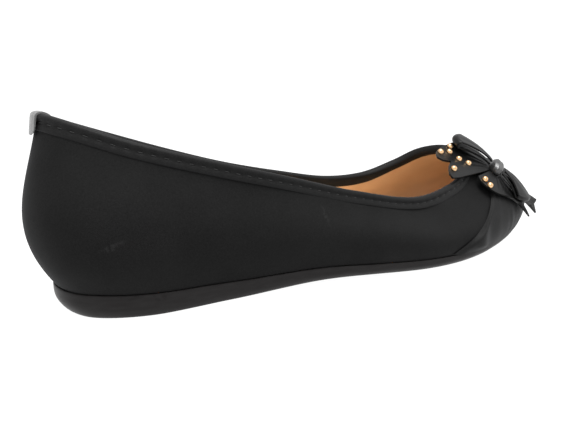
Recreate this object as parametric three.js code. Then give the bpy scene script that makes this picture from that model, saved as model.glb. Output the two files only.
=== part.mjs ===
// Ballet flat, right shoe: a lasted upper with a ruched toe piece, a bound topline, a low one-piece
// sole, an insole, a heel tab and a scalloped two-layer bow with domed studs at the throat.
// Millimetres. +X runs from heel to toe, +Y to the inner (medial) side, +Z up from the floor.
import * as THREE from 'three';
import { mergeVertices } from 'three/addons/utils/BufferGeometryUtils.js';

// Last and sole
const SOLE_LENGTH = 236;
const BALL_WIDTH = 80;
const HEEL_WIDTH = 52;
const HEEL_THICKNESS = 8.6;
const FORE_THICKNESS = 4.4;
const TOE_SPRING = 7.7;
const ARCH_RISE = 1.8;
const HEEL_ROLL = 0.8;
const SOLE_LEDGE = 0.4;

// Topline
const VAMP_LENGTH = 51.5;
const COLLAR_WIDTH = 60;
const BACK_HEIGHT = 63.5;
const SIDE_HEIGHT = 27.5;
const THROAT_HEIGHT = 43.9;
const SIDE_LEAN_DEGREES = 12;
const THROAT_SLOPE = 0.28;

// Walls and fits
const WALL = 1.8;
const INSOLE_THICKNESS = 3;
const FIT = 0.3;
const BINDING_THICKNESS = 0.6;
const BINDING_WIDTH = 4.4;
const BINDING_INSIDE = 4;
const CAP_THICKNESS = 0.8;
const PLEAT_HEIGHT = 1.2;
const TAB_WIDTH = 8;
const TAB_THICKNESS = 0.6;
const TAB_OUTSIDE = 6.2;
const TAB_INSIDE = 5;

// Bow
const BOW_SPAN = 60;
const BOW_TURN_DEGREES = 135;
const LEAF_THICKNESS = 1;
const LEAF_DROP = 1.7;
const LOOP_THICKNESS = 0.8;
const LOOP_DROP = 0.2;
const LOOP_ROOT_RISE = 1.7;
const LOOP_CAP = 0.22;
const LOOP_ARCH = 0.9;
const LOOP_NOD = 0.4;
const RIB_BEND = 0.6;
const KNOT_ALONG = 6;
const KNOT_ACROSS = 10;
const KNOT_HEIGHT = 6.4;
const KNOT_STATION = 18.272;
const KNOT_RISE = 0.754;
const STUD_DIAMETER = 3.4;
const STUD_HEIGHT = 1.5;
const STUD_SEAT = 0.4;

// Grid steps
const AROUND = 80;
const OUTER_STEPS = 8;
const INNER_STEPS = 5;
const STRIP_STEPS = 5;

// One row for each station around the foot outline, from the toe along the medial side to the heel
// and back along the lateral side. foot: share of the sole length from the heel; ball and heel:
// shares of the two half widths, medial positive; top: share of the distance from heel to throat;
// collar: share of the collar's half width; back and throat: shares of the rise above the side
// height towards the back height and towards the throat height.
const STATIONS = [
  { name: 'toe', foot: 1, ball: 0.095, heel: 0, top: 1, collar: 0, back: 0, throat: 1 },
  { name: 'toe_m1', foot: 0.962, ball: 0.488, heel: 0, top: 0.981, collar: 0.45, back: 0, throat: 0.854 },
  { name: 'toe_m2', foot: 0.872, ball: 0.783, heel: 0, top: 0.931, collar: 0.755, back: 0, throat: 0.463 },
  { name: 'ball_m', foot: 0.737, ball: 0.933, heel: 0, top: 0.84, collar: 0.923, back: 0, throat: 0.128 },
  { name: 'fore_m', foot: 0.618, ball: 0.62, heel: 0.296, top: 0.717, collar: 0.98, back: 0.05, throat: 0 },
  { name: 'mid_m', foot: 0.482, ball: 0.3, heel: 0.519, top: 0.563, collar: 0.907, back: 0.194, throat: 0 },
  { name: 'mid_m2', foot: 0.355, ball: 0.1, heel: 0.737, top: 0.414, collar: 0.837, back: 0.364, throat: 0 },
  { name: 'heel_m1', foot: 0.228, ball: 0, heel: 0.948, top: 0.278, collar: 0.797, back: 0.564, throat: 0 },
  { name: 'heel_m2', foot: 0.112, ball: 0, heel: 0.944, top: 0.143, collar: 0.693, back: 0.786, throat: 0 },
  { name: 'heel_m3', foot: 0.036, ball: 0, heel: 0.611, top: 0.051, collar: 0.42, back: 0.939, throat: 0 },
  { name: 'heel', foot: 0.0075, ball: 0, heel: -0.018, top: 0.013, collar: 0, back: 1, throat: 0 },
  { name: 'heel_l3', foot: 0.035, ball: 0, heel: -0.615, top: 0.05, collar: -0.423, back: 0.931, throat: 0 },
  { name: 'heel_l2', foot: 0.113, ball: 0, heel: -0.97, top: 0.143, collar: -0.693, back: 0.75, throat: 0 },
  { name: 'heel_l1', foot: 0.229, ball: 0, heel: -1.033, top: 0.28, collar: -0.83, back: 0.547, throat: 0 },
  { name: 'mid_l2', foot: 0.355, ball: -0.2, heel: -0.881, top: 0.418, collar: -0.903, back: 0.361, throat: 0 },
  { name: 'mid_l', foot: 0.481, ball: -0.6, heel: -0.515, top: 0.566, collar: -0.983, back: 0.156, throat: 0 },
  { name: 'ball_l', foot: 0.637, ball: -1.045, heel: 0, top: 0.732, collar: -1.033, back: 0, throat: 0 },
  { name: 'fore_l', foot: 0.759, ball: -0.935, heel: 0, top: 0.861, collar: -0.947, back: 0, throat: 0.19 },
  { name: 'toe_l2', foot: 0.872, ball: -0.71, heel: 0, top: 0.941, collar: -0.74, back: 0, throat: 0.5 },
  { name: 'toe_l1', foot: 0.958, ball: -0.343, heel: 0, top: 0.984, collar: -0.45, back: 0, throat: 0.83 },
];

// How each wall profile leaves the foot outline and meets the topline, by share of the sole length.
// swell, rise and reach are shares of the wall's own height at that place.
const PROFILE = [
  { at: 0, swell: 0.255, rise: 0.38, reach: 0.38 },
  { at: 0.067, swell: 0.235, rise: 0.4, reach: 0.386 },
  { at: 0.237, swell: 0.225, rise: 0.469, reach: 0.39 },
  { at: 0.49, swell: 0.245, rise: 0.5, reach: 0.385 },
  { at: 0.745, swell: 0.28, rise: 0.514, reach: 0.553 },
  { at: 0.936, swell: 0.229, rise: 0.548, reach: 0.839 },
  { at: 1, swell: 0.228, rise: 0.58, reach: 0.95 },
];

// Sole section by share of the sole length. heel and fore: shares of the two thicknesses.
// inset: how far the ground edge lies inside the foot outline, as a share of the thickness there.
const SOLE_SECTIONS = [
  { at: 0, heel: 1, fore: 0, inset: 0.3 },
  { at: 0.046, heel: 1, fore: 0, inset: 0.27 },
  { at: 0.194, heel: 0.86, fore: 0, inset: 0.22 },
  { at: 0.449, heel: 0, fore: 1.07, inset: 0.4 },
  { at: 0.618, heel: 0, fore: 1, inset: 0.44 },
  { at: 1, heel: 0, fore: 0.91, inset: 0.85 },
];
const HEEL_BEVEL_END = 0.04;
const ARCH_START = 0.216;
const ARCH_END = 0.597;
const SPRING_START = 0.72;
const SPRING_POWER = 1.5;

// Toe piece: its seam crosses the foot outline at seam_foot stations from the toe on each side and
// the topline at seam_foot minus seam_sweep. Pleats fan out from the knot.
const SEAM = { foot: 4.1, sweep: 2.4, bend: 1.25 };
const PLEATS = [
  { turn: 209, width: 3.2, height: 1.05 },
  { turn: 222, width: 4, height: 0.12 },
  { turn: 240, width: 6, height: 0.1 },
  { turn: 258, width: 8, height: 0.4 },
  { turn: 290, width: 9, height: 0.12 },
  { turn: 325, width: 9, height: 0.15 },
  { turn: 358, width: 8, height: 0.2 },
  { turn: 24, width: 7, height: 0.25 },
  { turn: 46, width: 6, height: 0.35 },
  { turn: 66, width: 5, height: 0.5 },
  { turn: 84, width: 4.5, height: 0.8 },
];
const PLEAT_START = 0.13;
const PLEAT_FULL = 0.4;

// Scalloped leaves of the bow. Each row is a rib's end on the leaf's edge. turn: its plan angle in
// degrees about the knot's own normal, from the toe side; reach: its distance from the knot; lift: its
// height over the knot's middle; curl: the share of lift that comes near the edge. All but turn are
// shares of the bow's span.
const FAR_LEAF = [
  { name: 'tail_low', turn: 188, reach: 0.49, lift: -0.062, curl: 0 },
  { name: 'tail_tip', turn: 187, reach: 0.57, lift: -0.067, curl: 0 },
  { name: 'tail_side', turn: 184, reach: 0.582, lift: -0.06, curl: 0 },
  { name: 'tail_back', turn: 177.5, reach: 0.538, lift: -0.053, curl: 0 },
  { name: 'notch', turn: 170, reach: 0.475, lift: -0.048, curl: 0 },
  { name: 'lobe_low', turn: 168.5, reach: 0.537, lift: -0.06, curl: 0 },
  { name: 'lobe_side', turn: 165.5, reach: 0.57, lift: -0.067, curl: 0 },
  { name: 'lobe_end', turn: 158.5, reach: 0.55, lift: -0.067, curl: 0 },
  { name: 'lobe_top', turn: 150, reach: 0.497, lift: -0.057, curl: 0 },
  { name: 'top_edge', turn: 142, reach: 0.439, lift: -0.047, curl: 0 },
  { name: 'corner', turn: 130, reach: 0.39, lift: -0.043, curl: 0 },
  { name: 'front_edge', turn: 111, reach: 0.32, lift: -0.043, curl: 0 },
];
const NEAR_LEAF = [
  { name: 'back_root', turn: 193, reach: 0.276, lift: -0.045, curl: 0 },
  { name: 'rim_1', turn: 201, reach: 0.296, lift: -0.05, curl: 0 },
  { name: 'rim_2', turn: 210, reach: 0.294, lift: -0.055, curl: 0 },
  { name: 'rim_3', turn: 221, reach: 0.29, lift: -0.057, curl: 0 },
  { name: 'rim_4', turn: 234, reach: 0.28, lift: -0.057, curl: 0 },
  { name: 'rim_5', turn: 252, reach: 0.262, lift: -0.058, curl: 0 },
  { name: 'rim_6', turn: 271, reach: 0.276, lift: -0.065, curl: 0 },
  { name: 'low_root', turn: 286, reach: 0.314, lift: -0.078, curl: -0.01 },
  { name: 'low_tip', turn: 297, reach: 0.443, lift: -0.09, curl: -0.05 },
  { name: 'low_back', turn: 299.5, reach: 0.315, lift: -0.08, curl: -0.004 },
  { name: 'fork_low', turn: 313, reach: 0.428, lift: -0.1, curl: 0 },
  { name: 'prong_low', turn: 317, reach: 0.515, lift: -0.13, curl: -0.02 },
  { name: 'fork', turn: 321.5, reach: 0.468, lift: -0.1, curl: -0.01 },
  { name: 'prong_high', turn: 326.5, reach: 0.482, lift: -0.088, curl: 0 },
  { name: 'fork_high', turn: 329, reach: 0.365, lift: -0.082, curl: 0 },
  { name: 'front_root', turn: 331, reach: 0.3, lift: -0.066, curl: 0 },
];

// Plain loops over the leaves. Each row is a rib out to the loop's folded end, in the same columns;
// puff is the radius of that fold.
const FAR_LOOP = [
  { name: 'heel_side', turn: 148, reach: 0.385, lift: 0.032, puff: 0.025 },
  { name: 'middle', turn: 133, reach: 0.412, lift: 0.018, puff: 0.026 },
  { name: 'toe_side', turn: 117, reach: 0.39, lift: 0.005, puff: 0.026 },
];
const NEAR_LOOP = [
  { name: 'toe_side', turn: 312, reach: 0.362, lift: -0.05, puff: 0.014 },
  { name: 'middle', turn: 293, reach: 0.338, lift: -0.033, puff: 0.015 },
  { name: 'heel_side', turn: 273, reach: 0.285, lift: -0.023, puff: 0.014 },
];

// Studs, by leaf: along the rib from the knot and across the leaf's rows, both as shares.
const STUDS = [
  { leaf: 'far', along: 0.93, across: 0.63 },
  { leaf: 'far', along: 0.9, across: 0.793 },
  { leaf: 'far', along: 0.77, across: 0.67 },
  { leaf: 'far', along: 0.6, across: 0.507 },
  { leaf: 'far', along: 0.54, across: 0.34 },
  { leaf: 'far', along: 0.9, across: 0.237 },
  { leaf: 'near', along: 0.76, across: 0.09 },
  { leaf: 'near', along: 0.85, across: 0.172 },
];

const V = (x, y, z) => new THREE.Vector3(x, y, z);
const mix = (a, b, t) => a + (b - a) * t;
const clamp01 = (t) => Math.min(Math.max(t, 0), 1);
const smooth = (t) => clamp01(t) ** 2 * (3 - 2 * clamp01(t));

// Smooth closed curve through evenly spaced values (Catmull-Rom), at station u.
function spline(values, u) {
  const count = values.length;
  const first = Math.floor(u);
  const t = u - first;
  const at = (k) => values[(((first + k) % count) + count) % count];
  const [a, b, c, d] = [at(-1), at(0), at(1), at(2)];
  return b + 0.5 * t * (c - a + t * (2 * a - 5 * b + 4 * c - d + t * (3 * (b - c) + d - a)));
}

// Straight interpolation of one column of a table by its first column, at.
function column(table, name, at) {
  let k = 1;
  while (k < table.length - 1 && table[k].at < at) k += 1;
  const share = clamp01((at - table[k - 1].at) / (table[k].at - table[k - 1].at));
  return mix(table[k - 1][name], table[k][name], share);
}

// Rounded interpolation across the rows of an open table, t from 0 to 1; round is half the share of
// the neighbouring rows' slope.
function across(table, name, t, round = 0.5) {
  const place = clamp01(t) * (table.length - 1);
  const first = Math.min(Math.floor(place), table.length - 2);
  const share = place - first;
  const at = (k) => table[Math.min(Math.max(first + k, 0), table.length - 1)][name];
  const [a, b, c, d] = [at(-1), at(0), at(1), at(2)];
  const [leave, arrive] = [round * (c - a), round * (d - b)];
  const bend = 3 * (c - b) - 2 * leave - arrive;
  return b + share * (leave + share * (bend + share * (leave + arrive - 2 * (c - b))));
}

const throatX = SOLE_LENGTH - VAMP_LENGTH;
const footX = STATIONS.map((row) => row.foot * SOLE_LENGTH);
const footY = STATIONS.map((row) => (row.ball * BALL_WIDTH + row.heel * HEEL_WIDTH) / 2);
const topX = STATIONS.map((row) => row.top * throatX);
const topY = STATIONS.map((row) => (row.collar * COLLAR_WIDTH) / 2);
const topZ = STATIONS.map(
  (row) => SIDE_HEIGHT + row.back * (BACK_HEIGHT - SIDE_HEIGHT) + row.throat * (THROAT_HEIGHT - SIDE_HEIGHT),
);
const COUNT = STATIONS.length;

// Height of the sole's underside: a flat heel seat and a flat tread with an arch between, a roll at
// the back edge and the toe spring.
function groundZ(x) {
  const share = x / SOLE_LENGTH;
  const spring = TOE_SPRING * clamp01((share - SPRING_START) / (1 - SPRING_START)) ** SPRING_POWER;
  const arch = ARCH_RISE * Math.sin(Math.PI * clamp01((share - ARCH_START) / (ARCH_END - ARCH_START))) ** 2;
  const roll = HEEL_ROLL * clamp01(1 - share / HEEL_BEVEL_END) ** 2;
  return spring + arch + roll;
}

function soleThickness(x) {
  const share = x / SOLE_LENGTH;
  const heel = HEEL_THICKNESS * column(SOLE_SECTIONS, 'heel', share);
  return heel + FORE_THICKNESS * column(SOLE_SECTIONS, 'fore', share);
}

const featherZ = (x) => groundZ(x) + soleThickness(x);

// Foot outline: the point and its outward normal in plan.
function outline(u) {
  const step = 0.02;
  const point = V(spline(footX, u), spline(footY, u), 0);
  const dx = spline(footX, u + step) - spline(footX, u - step);
  const dy = spline(footY, u + step) - spline(footY, u - step);
  return { point, normal: V(dy, -dx, 0).normalize() };
}

// The four control points of the wall's profile at station u, from the foot outline to the topline.
function profile(u) {
  const { point, normal } = outline(u);
  const share = point.x / SOLE_LENGTH;
  const foot = point.clone().setZ(featherZ(point.x) + FIT);
  const top = V(spline(topX, u), spline(topY, u), spline(topZ, u));
  const height = top.z - foot.z;
  const lean = THREE.MathUtils.degToRad(SIDE_LEAN_DEGREES);
  const side = normal.clone().multiplyScalar(-Math.sin(lean)).setZ(Math.cos(lean));
  const inward = top.clone().sub(point).setZ(0).normalize().setZ(THROAT_SLOPE);
  const tangent = side.lerp(inward, smooth((share - 0.618) / 0.296)).normalize();
  const low = foot.clone().addScaledVector(normal, column(PROFILE, 'swell', share) * height);
  low.z += column(PROFILE, 'rise', share) * height;
  const reach = column(PROFILE, 'reach', share) * height;
  return { foot, low, high: top.clone().addScaledVector(tangent, -reach), top, tangent, reach };
}

// The outer surface of the upper: u around the outline, v from the foot (0) to the topline (1).
function surface(u, v) {
  const { foot, low, high, top } = profile(u);
  const w = 1 - v;
  return V(0, 0, 0)
    .addScaledVector(foot, w * w * w)
    .addScaledVector(low, 3 * w * w * v)
    .addScaledVector(high, 3 * w * v * v)
    .addScaledVector(top, v * v * v);
}

function surfaceNormal(u, v) {
  const step = 0.01;
  const low = Math.max(v - step, 0);
  const high = Math.min(v + step, 1);
  const up = surface(u, high).sub(surface(u, low));
  const round = surface(u + step * 4, v).sub(surface(u - step * 4, v));
  return round.cross(up).normalize();
}

// A point at a distance outside the outer surface (negative inside).
function shell(u, v, distance) {
  return surface(u, v).addScaledVector(surfaceNormal(u, v), distance);
}

// The v that lies a given length below the topline.
function belowTop(u, length) {
  return 1 - length / (3 * profile(u).reach);
}

// Triangles are collected here, and become one closed geometry.
class Skin {
  constructor() {
    this.values = [];
  }

  triangle(a, b, c) {
    const area = b.clone().sub(a).cross(c.clone().sub(a)).length();
    if (area > 1e-7) this.values.push(...a.toArray(), ...b.toArray(), ...c.toArray());
  }

  quad(a, b, c, d) {
    if (a.distanceTo(c) <= b.distanceTo(d)) {
      this.triangle(a, b, c);
      this.triangle(a, c, d);
    } else {
      this.triangle(a, b, d);
      this.triangle(b, c, d);
    }
  }

  geometry() {
    const loose = new THREE.BufferGeometry();
    loose.setAttribute('position', new THREE.Float32BufferAttribute(this.values, 3));
    const merged = mergeVertices(loose, 1e-4);
    merged.computeVertexNormals();
    return merged;
  }
}

// A closed tube of rings: each ring joins the next, and the last joins the first.
function ringSolid(rings) {
  const skin = new Skin();
  rings.forEach((ring, k) => {
    const next = rings[(k + 1) % rings.length];
    ring.forEach((point, i) => {
      const j = (i + 1) % ring.length;
      skin.quad(point, ring[j], next[j], next[i]);
    });
  });
  return skin.geometry();
}

// A solid between two faces with the same grid; the front face is seen from its outside.
function slabSolid(front, back) {
  const skin = new Skin();
  const rows = front.length - 1;
  const steps = front[0].length - 1;
  for (let r = 0; r < rows; r += 1) {
    for (let c = 0; c < steps; c += 1) {
      skin.quad(front[r][c], front[r][c + 1], front[r + 1][c + 1], front[r + 1][c]);
      skin.quad(back[r + 1][c], back[r + 1][c + 1], back[r][c + 1], back[r][c]);
    }
    skin.quad(front[r + 1][0], back[r + 1][0], back[r][0], front[r][0]);
    skin.quad(front[r][steps], back[r][steps], back[r + 1][steps], front[r + 1][steps]);
  }
  for (let c = 0; c < steps; c += 1) {
    skin.quad(front[0][c + 1], front[0][c], back[0][c], back[0][c + 1]);
    skin.quad(front[rows][c], front[rows][c + 1], back[rows][c + 1], back[rows][c]);
  }
  return skin.geometry();
}

// A plate with a closed outline: side rings from the bottom ring to the top ring, and strips across
// between the medial and lateral points of one station. level gives a strip point's height.
function plateSolid(rings, bottomLevel, topLevel) {
  const skin = new Skin();
  for (let k = 0; k < rings.length - 1; k += 1) {
    rings[k].forEach((point, i) => {
      const j = (i + 1) % AROUND;
      skin.quad(point, rings[k][j], rings[k + 1][j], rings[k + 1][i]);
    });
  }
  const strips = (ring, level) => {
    const rows = [];
    for (let i = 0; i <= AROUND / 2; i += 1) {
      const medial = ring[i];
      const lateral = ring[(AROUND - i) % AROUND];
      const row = [];
      for (let c = 0; c <= STRIP_STEPS; c += 1) {
        const point = medial.clone().lerp(lateral, c / STRIP_STEPS);
        if (c > 0 && c < STRIP_STEPS) point.z = level(point, c / STRIP_STEPS);
        row.push(point);
      }
      if (i === 0 || i === AROUND / 2) row.forEach((point) => point.copy(medial));
      rows.push(row);
    }
    return rows;
  };
  const fill = (rows, upward) => {
    for (let i = 0; i < rows.length - 1; i += 1) {
      for (let c = 0; c < STRIP_STEPS; c += 1) {
        const corners = [rows[i][c], rows[i + 1][c], rows[i + 1][c + 1], rows[i][c + 1]];
        if (!upward) corners.reverse();
        skin.quad(...corners);
      }
    }
  };
  fill(strips(rings[rings.length - 1], topLevel), true);
  fill(strips(rings[0], bottomLevel), false);
  return skin.geometry();
}

const stations = Array.from({ length: AROUND }, (_, i) => (i * COUNT) / AROUND);
const steps = (count) => Array.from({ length: count + 1 }, (_, i) => i / count);

// Upper: one hollow wall from the foot outline to the topline, open above and underneath.
function upperGeometry() {
  const outer = steps(OUTER_STEPS).map((v) => stations.map((u) => surface(u, v)));
  const inner = steps(INNER_STEPS).map((v) => stations.map((u) => shell(u, v, -WALL)));
  inner[0].forEach((point, i) => {
    const { point: foot, normal } = outline(stations[i]);
    point.copy(foot).addScaledVector(normal, -WALL).setZ(outer[0][i].z);
  });
  return ringSolid([...outer, ...inner.reverse()]);
}

// Sole: a side band that tucks in towards the ground, over a flat heel seat, arch, tread and toe.
function soleGeometry() {
  const ring = (drop, margin) =>
    stations.map((u) => {
      const { point, normal } = outline(u);
      const thickness = soleThickness(point.x);
      const inset = column(SOLE_SECTIONS, 'inset', point.x / SOLE_LENGTH) * thickness;
      const out = SOLE_LEDGE * margin - inset * (1 - margin);
      const z = featherZ(point.x) - thickness * drop;
      return point.clone().addScaledVector(normal, out).setZ(z);
    });
  const rings = [ring(1, 0), ring(0.86, 0.4), ring(0.6, 0.8), ring(0.3, 1), ring(0, 1)];
  return plateSolid(rings, (point) => groundZ(point.x), (point) => featherZ(point.x));
}

// Insole: fills the foot outline inside the wall and follows it up, slightly cupped.
function insoleGeometry() {
  const level = INSOLE_THICKNESS + FIT;
  const low = stations.map((u) => {
    const { point, normal } = outline(u);
    return point.clone().addScaledVector(normal, -WALL - FIT).setZ(featherZ(point.x) + FIT);
  });
  const high = low.map((point, i) => {
    const u = stations[i];
    const wall = shell(u, 1 / INNER_STEPS, -WALL);
    const share = INSOLE_THICKNESS / (wall.z - point.z);
    const foot = point.clone().addScaledVector(outline(u).normal, FIT);
    return foot.lerp(wall, share).addScaledVector(outline(u).normal, -1.2 * FIT);
  });
  const cup = (share) => 0.25 * INSOLE_THICKNESS * (2 * share - 1) ** 2;
  const top = (point, share) => featherZ(point.x) + level - 0.25 * INSOLE_THICKNESS + cup(share);
  return plateSolid([low, high], (point) => featherZ(point.x) + FIT, top);
}

// A point of a band folded over the topline: out is its distance outside the wall's outer face,
// rise its height over the topline (negative down the wall).
function folded(u, out, rise) {
  if (rise <= 0) return shell(u, belowTop(u, -rise), out);
  return shell(u, 1, out).addScaledVector(profile(u).tangent, rise);
}

// The section of such a band as [out, rise] pairs, from its outer foot round the fold to its inner
// foot and back along its inside face.
function foldedSection(gap, thickness, outside, inside) {
  const far = gap + thickness;
  const back = -WALL - gap;
  return [
    [far, -outside],
    [far, 0],
    [far - 0.6 * thickness, far - 0.3 * thickness],
    [-WALL / 2, far],
    [back - 0.4 * thickness, far - 0.3 * thickness],
    [back - thickness, 0],
    [back - thickness, -inside],
    [back, -inside],
    [back, gap],
    [gap, gap],
    [gap, -outside],
  ];
}

function bindingGeometry() {
  const section = foldedSection(FIT, BINDING_THICKNESS, BINDING_WIDTH, BINDING_INSIDE);
  return ringSolid(section.map(([out, rise]) => stations.map((u) => folded(u, out, rise))));
}

// Heel tab: a short tape folded over the binding at the back seam.
function tabGeometry() {
  const gap = 2 * FIT + BINDING_THICKNESS;
  const section = foldedSection(gap, TAB_THICKNESS, TAB_OUTSIDE, TAB_INSIDE);
  const middle = COUNT / 2;
  const reach = 0.04;
  const arc = surface(middle + reach, 1).distanceTo(surface(middle - reach, 1));
  const half = (TAB_WIDTH / 2) * ((2 * reach) / arc);
  const rows = steps(4).map((t) => {
    const u = middle + mix(-half, half, t);
    return section.map(([out, rise]) => folded(u, out, rise));
  });
  const skin = new Skin();
  for (let r = 0; r < rows.length - 1; r += 1) {
    section.forEach((_, i) => {
      const j = (i + 1) % section.length;
      skin.quad(rows[r][i], rows[r + 1][i], rows[r + 1][j], rows[r][j]);
    });
  }
  const outerLeg = 5;
  const lid = (row, flip) => {
    const pairs = Array.from({ length: outerLeg }, (_, i) => i);
    pairs.forEach((i) => {
      const inside = (k) => row[section.length - 1 - Math.min(k, 3)];
      const corners = [row[i], row[i + 1], inside(lidStep(i + 1)), inside(lidStep(i))];
      if (flip) corners.reverse();
      skin.quad(...corners);
    });
    const last = [row[5], row[6], row[7], row[8]];
    if (flip) last.reverse();
    skin.quad(...last);
  };
  lid(rows[0], false);
  lid(rows[rows.length - 1], true);
  return skin.geometry();
}

// Which inside corner faces each outside corner of the folded section's end.
const lidStep = (k) => [0, 1, 1, 1, 2, 2][k];

// The knot's place: above the toe piece, with its own axes. along runs to the near wing's end.
const capProud = FIT + CAP_THICKNESS;
const knotNormal = surfaceNormal(KNOT_STATION, KNOT_RISE);
const knotCentre = shell(KNOT_STATION, KNOT_RISE, capProud + FIT + KNOT_HEIGHT / 2);
const knotForward = V(1, 0, 0).projectOnPlane(knotNormal).normalize();
const knotSide = knotNormal.clone().cross(knotForward);

// A point about the knot: turn in degrees from its forward axis, reach and lift in millimetres.
function aboutKnot(turn, reach, lift) {
  const angle = THREE.MathUtils.degToRad(turn);
  return knotCentre.clone()
    .addScaledVector(knotForward, reach * Math.cos(angle))
    .addScaledVector(knotSide, reach * Math.sin(angle))
    .addScaledVector(knotNormal, lift);
}

// How far the knot itself reaches at a turn: an ellipse across the bow.
function knotReach(turn) {
  const angle = THREE.MathUtils.degToRad(turn - BOW_TURN_DEGREES);
  return 0.5 / Math.hypot(Math.cos(angle) / KNOT_ALONG, Math.sin(angle) / KNOT_ACROSS);
}

// Raised pleats that fan out from the knot: the height at a point on the upper's surface.
function pleatHeight(point) {
  const from = point.clone().sub(knotCentre);
  const turn = (THREE.MathUtils.radToDeg(Math.atan2(from.y, from.x)) + 360) % 360;
  const away = Math.hypot(from.x, from.y);
  const grow = smooth((away / (BALL_WIDTH / 2) - PLEAT_START) / (PLEAT_FULL - PLEAT_START));
  const ridge = PLEATS.reduce((sum, pleat) => {
    const off = Math.abs(((turn - pleat.turn + 540) % 360) - 180);
    return sum + pleat.height * Math.exp(-((off / pleat.width) ** 2));
  }, 0);
  return PLEAT_HEIGHT * grow * ridge;
}

// Toe piece: an overlay on the upper's own surface from seam to seam, gathered into pleats.
function toePieceGeometry() {
  const columns = 36;
  const rows = 9;
  const grid = (distance, pleated) =>
    steps(rows).map((rise) =>
      steps(columns).map((side) => {
        const swept = mix(-1, 1, side) * (SEAM.foot - SEAM.sweep * rise ** SEAM.bend);
        const u = swept + COUNT;
        const top = belowTop(u, BINDING_WIDTH + FIT);
        const v = mix(0.01, top, rise);
        const lift = pleated ? pleatHeight(surface(u, v)) * smooth(Math.min(rise, 1 - rise) * 8 + 0.2) : 0;
        return shell(u, v, distance + lift);
      }),
    );
  return slabSolid(grid(capProud, true), grid(FIT, false));
}

// Sheet normals of a grid of points, for giving it a thickness.
function thicken(points, thickness) {
  const rows = points.length;
  const count = points[0].length;
  const offset = (amount) =>
    points.map((row, r) =>
      row.map((point, c) => {
        const down = points[Math.min(r + 1, rows - 1)][c].clone().sub(points[Math.max(r - 1, 0)][c]);
        const round = row[Math.min(c + 1, count - 1)].clone().sub(row[Math.max(c - 1, 0)]);
        return point.clone().addScaledVector(round.cross(down).normalize(), amount);
      }),
    );
  return { front: offset(thickness / 2), back: offset(-thickness / 2) };
}

// A leaf's middle surface: ribs fan out evenly from the knot and bend to their rows on the edge.
function leafPoint(table, along, side) {
  const at = (name) => across(table, name, side, 0.15);
  const fan = mix(table[0].turn, table[table.length - 1].turn, side);
  const turn = mix(fan, at('turn'), along ** RIB_BEND);
  const reach = mix(knotReach(fan) + FIT + 0.5, at('reach') * BOW_SPAN, along);
  const curl = along ** 4 * at('curl') * BOW_SPAN;
  return aboutKnot(turn, reach, mix(-LEAF_DROP, at('lift') * BOW_SPAN, along) + curl);
}

function leafGeometry(table) {
  const ribs = 2 * (table.length - 1);
  const points = steps(5).map((along) => steps(ribs).map((side) => leafPoint(table, along, side)));
  const { front, back } = thicken(points, LEAF_THICKNESS);
  return slabSolid(front, back);
}

// A loop's ribbon: out along the lower layer, half a circle round the folded end, and back above.
function loopPoint(table, over, side) {
  const at = (name) => across(table, name, side);
  const cap = at('puff') * BOW_SPAN;
  const out = clamp01((0.5 - Math.abs(over - 0.5)) / (0.5 - LOOP_CAP));
  const angle = (Math.min(Math.max((over - 0.5) / LOOP_CAP, -1), 1) * Math.PI) / 2;
  const root = knotReach(at('turn')) + FIT + 0.5;
  const opening = mix(LOOP_ROOT_RISE / 2, cap, out);
  const arch = LOOP_ARCH * Math.sin(Math.PI * out ** 0.8) - LOOP_NOD * out ** 4;
  const middle = mix(LOOP_ROOT_RISE / 2 - LOOP_DROP, at('lift') * BOW_SPAN, out) + arch;
  const reach = mix(root, at('reach') * BOW_SPAN - cap, out) + cap * Math.cos(angle);
  return aboutKnot(at('turn'), reach, middle + Math.sin(angle) * opening);
}

function loopGeometry(table) {
  const points = steps(18).map((over) => steps(6).map((side) => loopPoint(table, over, side)));
  const { front, back } = thicken(points, LOOP_THICKNESS);
  return slabSolid(front, back);
}

// Knot: a rounded band pulled tight around the middle of the bow.
function knotGeometry() {
  const round = (value, power) => Math.sign(value) * Math.abs(value) ** power;
  const rings = steps(8).map((t) => {
    const tilt = mix(-Math.PI / 2, Math.PI / 2, t);
    const out = round(Math.cos(tilt), 0.7);
    return steps(16).slice(0, 16).map((share) => {
      const turn = share * 2 * Math.PI;
      const end = aboutKnot(BOW_TURN_DEGREES, (KNOT_ALONG / 2) * round(Math.sin(tilt), 0.8), 0);
      const side = aboutKnot(BOW_TURN_DEGREES + 90, (KNOT_ACROSS / 2) * out * Math.cos(turn), 0);
      const lift = (KNOT_HEIGHT / 2) * out * round(Math.sin(turn), 0.9);
      return end.add(side).sub(knotCentre).addScaledVector(knotNormal, lift);
    });
  });
  const skin = new Skin();
  for (let k = 0; k < rings.length - 1; k += 1) {
    rings[k].forEach((point, i) => {
      const j = (i + 1) % rings[k].length;
      skin.quad(point, rings[k][j], rings[k + 1][j], rings[k + 1][i]);
    });
  }
  return skin.geometry();
}

function studGeometry() {
  const radius = STUD_DIAMETER / 2;
  const rim = [0, 0.35, 0.7, 1].map((t) => {
    const tilt = (t * Math.PI) / 2;
    return new THREE.Vector2(radius * Math.cos(tilt), STUD_HEIGHT * Math.sin(tilt));
  });
  rim[rim.length - 1].x = 0;
  return new THREE.LatheGeometry([new THREE.Vector2(0, 0), ...rim], 10);
}

const blackCloth = { color: 0x202022, roughness: 0.75, metalness: 0 };
const materials = {
  upper: () => new THREE.MeshStandardMaterial(blackCloth),
  sole: () => new THREE.MeshStandardMaterial({ color: 0x2c2c2e, roughness: 0.35, metalness: 0 }),
  insole: () => new THREE.MeshStandardMaterial({ color: 0xb98a5e, roughness: 0.7, metalness: 0 }),
  trim: () => new THREE.MeshStandardMaterial({ color: 0x232526, roughness: 0.5, metalness: 0 }),
  stud: () => new THREE.MeshStandardMaterial({ color: 0xe0b878, roughness: 0.3, metalness: 0.9 }),
};

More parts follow.
